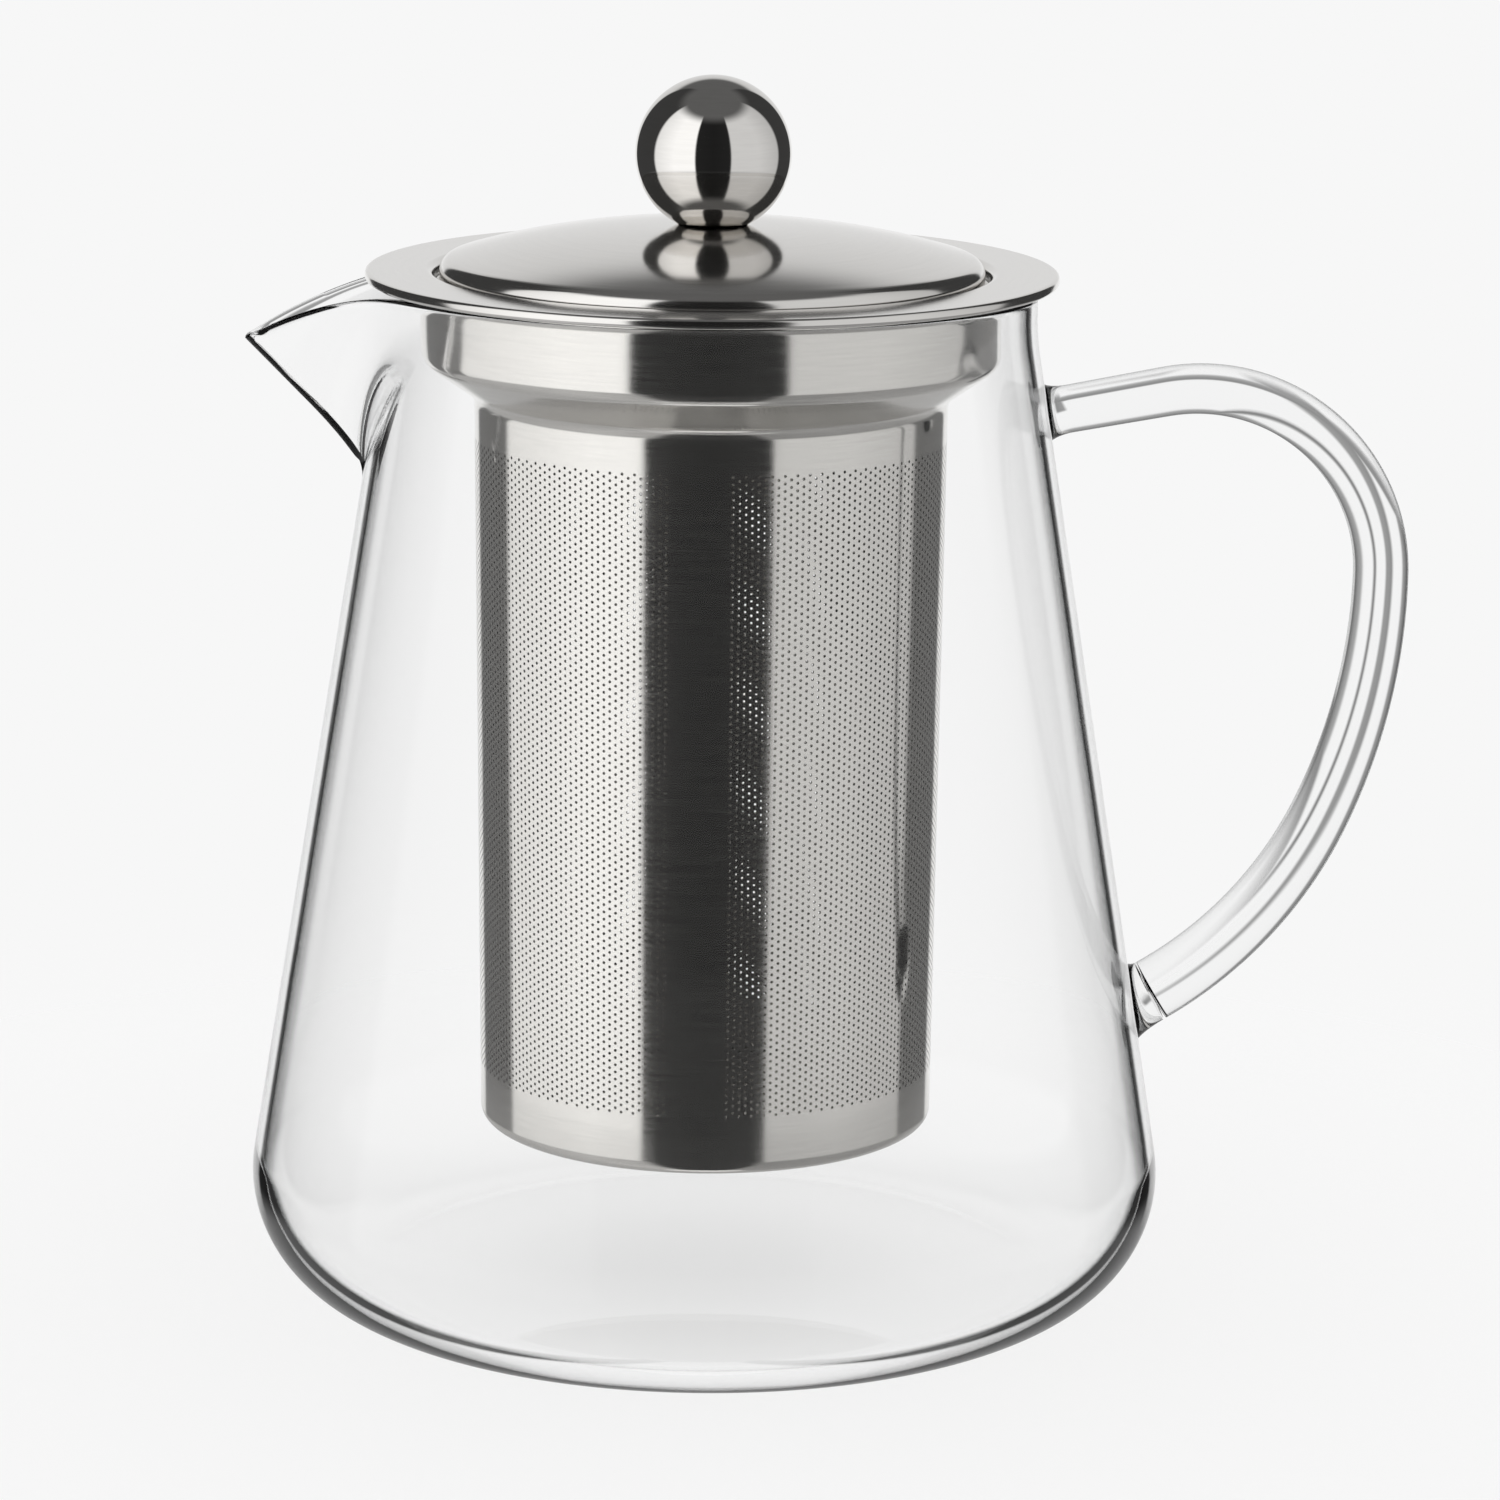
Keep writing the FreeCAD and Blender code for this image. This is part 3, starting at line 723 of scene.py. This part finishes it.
class TEAPOT_OT_lid(bpy.types.Operator):
    """Press the domed lid and buff it"""
    bl_idname = "teapot.lid"
    bl_label = "Lid"

    def execute(self, context):
        jug, infuser, lid = context.scene.teapot_jug, context.scene.teapot_infuser, context.scene.teapot_lid
        profile = Profile(context.scene)
        edge = jug.neck_radius + lid.overhang
        groove = profile.collar - infuser.sheet - lid.clearance - lid.sheet
        dome = groove - lid.groove_width
        seat_margin = 0.0002
        flat = lid.ball_seat + seat_margin
        run = dome - lid.dome_shoulder - flat
        slope = math.atan2(lid.dome_rise - lid.dome_edge_rise, run / 2 + lid.dome_shoulder)
        dome_radius = run / math.sin(slope)
        bend = flat + dome_radius * math.tan(slope / 2)
        dome_edge = profile.ball_seat - (dome - bend) * math.tan(slope)
        face = [
            (lid.screw_hole, profile.ball_seat, 0),
            (bend, profile.ball_seat, dome_radius),
            (dome, dome_edge, lid.dome_shoulder),
            (dome, profile.lid_top - lid.groove_depth, lid.groove_round),
            (groove, profile.lid_top - lid.groove_depth, lid.groove_round),
            (groove, profile.lid_top, lid.flange_bend),
            (edge - lid.hem, profile.lid_top, 0),
        ]
        hem = [
            (edge - lid.hem, profile.lid_top, 0),
            (edge, profile.lid_top, lid.edge_round),
            (edge, profile.lid_seat, lid.edge_round),
            (edge - lid.hem, profile.lid_seat, 0),
        ]
        loop = rounded(face)[:-1] + rounded(hem) + rounded(offset(face, lid.sheet))[::-1]
        steel = turned_steel("stainless steel, buffed", context.scene.teapot_finish.polished,
                             smooth=0.10, rough=0.14, line_width=0.0006, line_depth=0.03, stretch=8.0)
        piece("lid_sheet", *lathe(with_supports(loop)), steel, "lid", ["lid_shell"], "polished_steel")
        return {"FINISHED"}


class TEAPOT_OT_knob(bpy.types.Operator):
    """Turn the ball knob and give its screw and washer their steel"""
    bl_idname = "teapot.knob"
    bl_label = "Knob and fixing"

    def execute(self, context):
        lid, profile = context.scene.teapot_lid, Profile(context.scene)
        ball_rows, ball_columns = 120, 192
        radius = lid.ball / 2
        middle = profile.ball_seat + math.sqrt(radius ** 2 - lid.ball_seat ** 2)
        low = math.asin(lid.ball_seat / radius)
        loop = [
            np.array((0, profile.ball_seat + lid.bore_depth)),
            np.array((lid.ball_bore, profile.ball_seat + lid.bore_depth)),
            np.array((lid.ball_bore, profile.ball_seat)),
        ]
        for a in np.linspace(low, math.pi, ball_rows):
            loop.append(np.array((radius * math.sin(a), middle - radius * math.cos(a))))
        loop[-1][0] = 0.0
        steel = turned_steel("stainless steel, mirror polished", context.scene.teapot_finish.polished,
                             smooth=0.02, rough=0.04, line_width=0.0006, line_depth=0.01, stretch=8.0)
        piece("knob_ball_polished", *lathe(loop[::-1], ball_columns), steel, "lid", ["knob_ball"], "polished_steel")
        plain = turned_steel("stainless steel, pickled", context.scene.teapot_finish.fixing,
                             smooth=0.3, rough=0.42, line_width=0.0005, line_depth=0.2, stretch=2.0)
        for node in ("knob_screw", "knob_washer"):
            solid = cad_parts[node]
            solid.data.materials.clear()
            solid.data.materials.append(plain)
        return {"FINISHED"}


class TEAPOT_OT_stage(bpy.types.Operator):
    """Set the pale floor, the light tent and the camera"""
    bl_idname = "teapot.stage"
    bl_label = "Studio"

    def execute(self, context):
        scene = context.scene
        paper = list(scene.teapot_finish.paper)
        self.world(scene, paper)
        self.floor(scene)
        self.tent(paper)
        self.camera(scene)
        scene.view_settings.view_transform = "Standard"
        return {"FINISHED"}

    def world(self, scene, paper):
        """Plain white light; what the eye, metal and glass see of it has the paper's tone."""
        world = bpy.data.worlds.new("pale studio")
        scene.world = world
        world.use_nodes = True
        world.cycles.sampling_method = "NONE"
        tree = world.node_tree
        tree.nodes.clear()
        path = add(tree, "ShaderNodeLightPath")
        seen = path["Is Camera Ray"]
        for ray in ("Is Glossy Ray", "Is Transmission Ray"):
            seen = add(tree, "ShaderNodeMath", {"operation": "MAXIMUM"}, {0: seen, 1: path[ray]})[0]
        mix = add(tree, "ShaderNodeMix", {"data_type": "RGBA"}, {"Factor": seen, "A": (1, 1, 1, 1), "B": paper})
        light = add(tree, "ShaderNodeBackground", None, {"Strength": 1.0, "Color": mix["Result"]})
        add(tree, "ShaderNodeOutputWorld", None, {"Surface": light["Background"]})

    def floor(self, scene):
        """A sheet of paper that fades into the background all round, wide enough for the soft shadow. Part of it
        glows in the background's tone, so that the shadow stays pale. The steel doesn't mirror it."""
        fade_start, fade_end, radius, glow_share = 0.13, 0.27, 0.28, 0.6
        made, tree = material("matt paper")
        made.cycles.emission_sampling = "NONE"
        place = add(tree, "ShaderNodeTexCoord")
        reach = add(tree, "ShaderNodeVectorMath", {"operation": "LENGTH"}, {0: place["Object"]})
        fade = add(tree, "ShaderNodeMapRange", {"interpolation_type": "SMOOTHSTEP"},
                   {"From Min": fade_start, "From Max": fade_end, "Value": reach["Value"]})
        path = add(tree, "ShaderNodeLightPath")
        mirrored = add(tree, "ShaderNodeMath", {"operation": "GREATER_THAN"}, {0: path["Glossy Depth"], 1: 0.5})
        gone = add(tree, "ShaderNodeMath", {"operation": "MAXIMUM"}, {0: fade["Result"], 1: mirrored[0]})
        shaded = add(tree, "ShaderNodeBsdfDiffuse", None, {"Color": list(scene.teapot_finish.floor)})
        lit = add(tree, "ShaderNodeEmission", None, {"Color": list(scene.teapot_finish.paper)})
        sheet = add(tree, "ShaderNodeMixShader", None, {0: glow_share, 1: shaded[0], 2: lit[0]})
        clear = add(tree, "ShaderNodeBsdfTransparent")
        mix = add(tree, "ShaderNodeMixShader", None, {0: gone[0], 1: sheet[0], 2: clear[0]})
        add(tree, "ShaderNodeOutputMaterial", None, {"Surface": mix[0]})
        inner_radius, ring_count, columns, below_foot = 0.02, 12, 64, 0.00005
        rings = np.linspace(inner_radius, radius, ring_count)
        points = [(r * math.cos(a), r * math.sin(a), -below_foot)
                  for r in rings for a in round_angles(columns)]
        faces = grid_faces(ring_count, columns) + [tuple(range(columns))]
        self.staged("floor_sheet", points, faces, made)

    def levels(self, pale):
        """Grey levels of the tent at angles in degrees: round the set, from 0 in front to 90 beside the handle,
        and up it. The rod and wall entries are the strips that draw lines in the glass."""
        around = {
            "near": [(-180, 0.05), (-98, 0.05), (-94, 1.0), (-60, 1.27), (-28, 1.27), (-26, 0.02), (0, 0.016),
                (25, 0.02), (27, 0.76), (70, 0.76), (108, 0.6), (112, 0.05), (180, 0.05)],
            "inside": [(-180, 0.15), (-117, 0.15), (-114, 1.0), (-60, 1.27), (-33, 1.27), (-31, 0.03),
                (0, 0.024), (29, 0.03), (31, 0.76), (70, 0.76), (114, 0.6), (117, 0.15), (180, 0.15)],
            "rear": [(-180, 1), (-155, 1), (-152, 0), (152, 0), (155, 1), (180, 1)],
            "table": [(-180, 0.47), (-120, 0.47), (-60, 0.6), (-32, 0.5), (-24, 0.05), (0, 0.04), (24, 0.05),
                (30, 0.3), (70, 0.34), (120, 0.32), (150, 0.47), (180, 0.47)],
            "rod_sides": [(-180, pale), (-152, pale), (-146, 0.33), (-122, 0.14), (-112, pale), (112, pale),
                (120, 0.16), (140, 0.4), (146, pale), (161, pale), (162.5, 0.26), (165, 0.26), (166.5, pale),
                (180, pale)],
            "rod_streak": [(-180, 0.34), (-173, 0.28), (-169, pale), (177.8, pale), (179.3, 0.36), (180, 0.34)],
            "wall": [(-180, pale), (-158, pale), (-155, 0.04), (-143, 0.04), (-139, pale), (139, pale),
                (143, 0.04), (155, 0.04), (158, pale), (180, pale)],
        }
        upward = {
            "back": [(-90, 0.95), (-2, 0.95), (4, 0.86), (8, 0.80), (15, 0.775), (26, 0.74), (30, 0.70),
                (33, 0.58), (35, 0.45), (38, 0.2), (41, 0.13), (90, 0.13)],
            "rod_ends": [(-90, pale), (-32, pale), (-28, 0.42), (-24, 0.28), (-21.5, 0.28), (-20, pale),
                (30, pale), (38, 0.4), (60, 0.2), (70, pale), (90, pale)],
        }
        return around, upward

    def tent(self, paper):
        """A tent round the set that only reflections and glass see: soft boxes left and right, dark in front,
        dark gaps beside the pale back, a dark roof and a grey table. Straight through the jug it is as pale as
        the background; only what passes through a single wall or the rod meets the strips that draw its lines."""
        made, tree = material("tent panels")
        made.cycles.emission_sampling = "NONE"
        place = add(tree, "ShaderNodeTexCoord")
        way = add(tree, "ShaderNodeVectorMath", {"operation": "NORMALIZE"}, {0: place["Object"]})
        parts = add(tree, "ShaderNodeSeparateXYZ", None, {"Vector": way["Vector"]})
        toward = add(tree, "ShaderNodeMath", {"operation": "MULTIPLY"}, {0: parts["Y"], 1: -1.0})
        around = add(tree, "ShaderNodeMath", {"operation": "ARCTAN2"}, {0: parts["X"], 1: toward[0]})
        lift = add(tree, "ShaderNodeMath", {"operation": "ARCSINE"}, {0: parts["Z"]})
        tones = {"always": 1.0, "roof": (0.13, 0.13, 0.13, 1.0), "paper": paper}
        for angle, span, ramps in zip((around, lift), (360, 180), self.levels(paper[0])):
            end = math.radians(span / 2)
            share = add(tree, "ShaderNodeMapRange", None, {"From Min": -end, "From Max": end, "Value": angle[0]})
            for name, marks in ramps.items():
                ramp = add(tree, "ShaderNodeValToRGB", None, {"Fac": share["Result"]})
                self.stops(ramp, marks, span)
                tones[name] = ramp["Color"]
        for name, start, end in (("low", -15, -22), ("high", 49, 64), ("below", -4, -8)):
            fade = add(tree, "ShaderNodeMapRange", {"interpolation_type": "SMOOTHSTEP"}, {
                "From Min": math.radians(start), "From Max": math.radians(end), "Value": lift[0]})
            tones[name] = fade["Result"]
        # A ray passes two faces in a single wall or the rod, and two more if steel inside the jug sends it back.
        path = add(tree, "ShaderNodeLightPath")
        for name, operation, depth, limit, slack in (
                ("straight", "LESS_THAN", "Glossy Depth", 0.5, 0.0),
                ("one_wall", "COMPARE", "Transmission Depth", 1.5, 1.0),
                ("behind_glass", "GREATER_THAN", "Transmission Depth", 2.5, 0.0)):
            test = add(tree, "ShaderNodeMath", {"operation": operation}, {0: path[depth], 1: limit, 2: slack})
            tones[name] = test[0]
        for name, blend, factor, under, over in (
                ("level", "MIX", "behind_glass", "near", "inside"),
                ("level", "MIX", "rear", "level", "back"),
                ("level", "MIX", "low", "level", "table"),
                ("level", "MIX", "high", "level", "roof"),
                ("level", "MIX", "straight", "level", "paper"),
                ("rod", "DARKEN", "always", "rod_sides", "rod_ends"),
                ("rod", "DARKEN", "below", "rod", "rod_streak"),
                ("edge", "MIX", "straight", "wall", "rod"),
                ("level", "MIX", "one_wall", "level", "edge")):
            mix = add(tree, "ShaderNodeMix", {"data_type": "RGBA", "blend_type": blend},
                      {"Factor": tones[factor], "A": tones[under], "B": tones[over]})
            tones[name] = mix["Result"]
        glow = add(tree, "ShaderNodeEmission", None, {"Strength": 1.0, "Color": tones["level"]})
        add(tree, "ShaderNodeOutputMaterial", None, {"Surface": glow[0]})
        radius, rows, columns, lowest, highest = 4.0, 60, 96, -80, 89.9
        points = [(radius * math.cos(e) * math.cos(a), radius * math.cos(e) * math.sin(a), radius * math.sin(e))
                  for e in np.radians(np.linspace(lowest, highest, rows))
                  for a in round_angles(columns)]
        faces = [face[::-1] for face in grid_faces(rows, columns)]
        made = self.staged("light_tent", points, faces, made)
        made.visible_camera = made.visible_diffuse = made.visible_shadow = False

    def stops(self, ramp, marks, span):
        """Grey levels of a colour ramp at angles in degrees."""
        stops = ramp["Color"].node.color_ramp.elements
        while len(stops) > 1:
            stops.remove(stops[-1])
        for i, (angle, level) in enumerate(marks):
            stop = stops[0] if i == 0 else stops.new(angle / span + 0.5)
            stop.position = angle / span + 0.5
            stop.color = (level, level, level, 1)

    def staged(self, name, points, faces, finish):
        mesh = bpy.data.meshes.new(name)
        mesh.from_pydata(points, [], faces)
        mesh.materials.append(finish)
        made = bpy.data.objects.new(name, mesh)
        bpy.context.collection.objects.link(made)
        return made

    def camera(self, scene):
        """A long lens that looks down on the pot a little."""
        sensor_width, focal_length = 36.0, 136.8
        stand = (0.0, -0.8866, 0.2890)
        swing, dip, roll = -0.43, 12.75, 0.6
        data = bpy.data.cameras.new("camera")
        data.sensor_width = sensor_width
        data.lens = focal_length
        made = bpy.data.objects.new("camera", data)
        bpy.context.collection.objects.link(made)
        view = Matrix.Translation(stand)
        for degrees, axis in ((swing, "Z"), (90 - dip, "X"), (roll, "Z")):
            view = view @ Matrix.Rotation(math.radians(degrees), 4, axis)
        made.matrix_world = view
        scene.camera = made


class TEAPOT_PT_panel(bpy.types.Panel):
    """The teapot's pieces, in the order they are made"""
    bl_idname = "TEAPOT_PT_panel"
    bl_label = "Glass Teapot"
    bl_space_type = "VIEW_3D"
    bl_region_type = "UI"
    bl_category = "Teapot"

    def draw(self, context):
        for operator in operators:
            self.layout.operator(operator.bl_idname)


groups = {
    "teapot_jug": JugSizes,
    "teapot_handle": HandleSizes,
    "teapot_infuser": InfuserSizes,
    "teapot_lid": LidSizes,
    "teapot_finish": FinishColours,
}
operators = [
    TEAPOT_OT_jug, TEAPOT_OT_handle, TEAPOT_OT_infuser_sheet, TEAPOT_OT_infuser_screen,
    TEAPOT_OT_lid, TEAPOT_OT_knob, TEAPOT_OT_stage,
]
classes = [*groups.values(), *operators, TEAPOT_PT_panel]


def register():
    for made in classes:
        bpy.utils.register_class(made)
    for name, group in groups.items():
        setattr(bpy.types.Scene, name, bpy.props.PointerProperty(type=group))


def unregister():
    for name in groups:
        delattr(bpy.types.Scene, name)
    for made in reversed(classes):
        bpy.utils.unregister_class(made)


def main():
    register()
    bpy.ops.teapot.jug()
    bpy.ops.teapot.handle()
    bpy.ops.teapot.infuser_sheet()
    bpy.ops.teapot.infuser_screen()
    bpy.ops.teapot.lid()
    bpy.ops.teapot.knob()
    bpy.ops.teapot.stage()


if __name__ == "__main__":
    main()
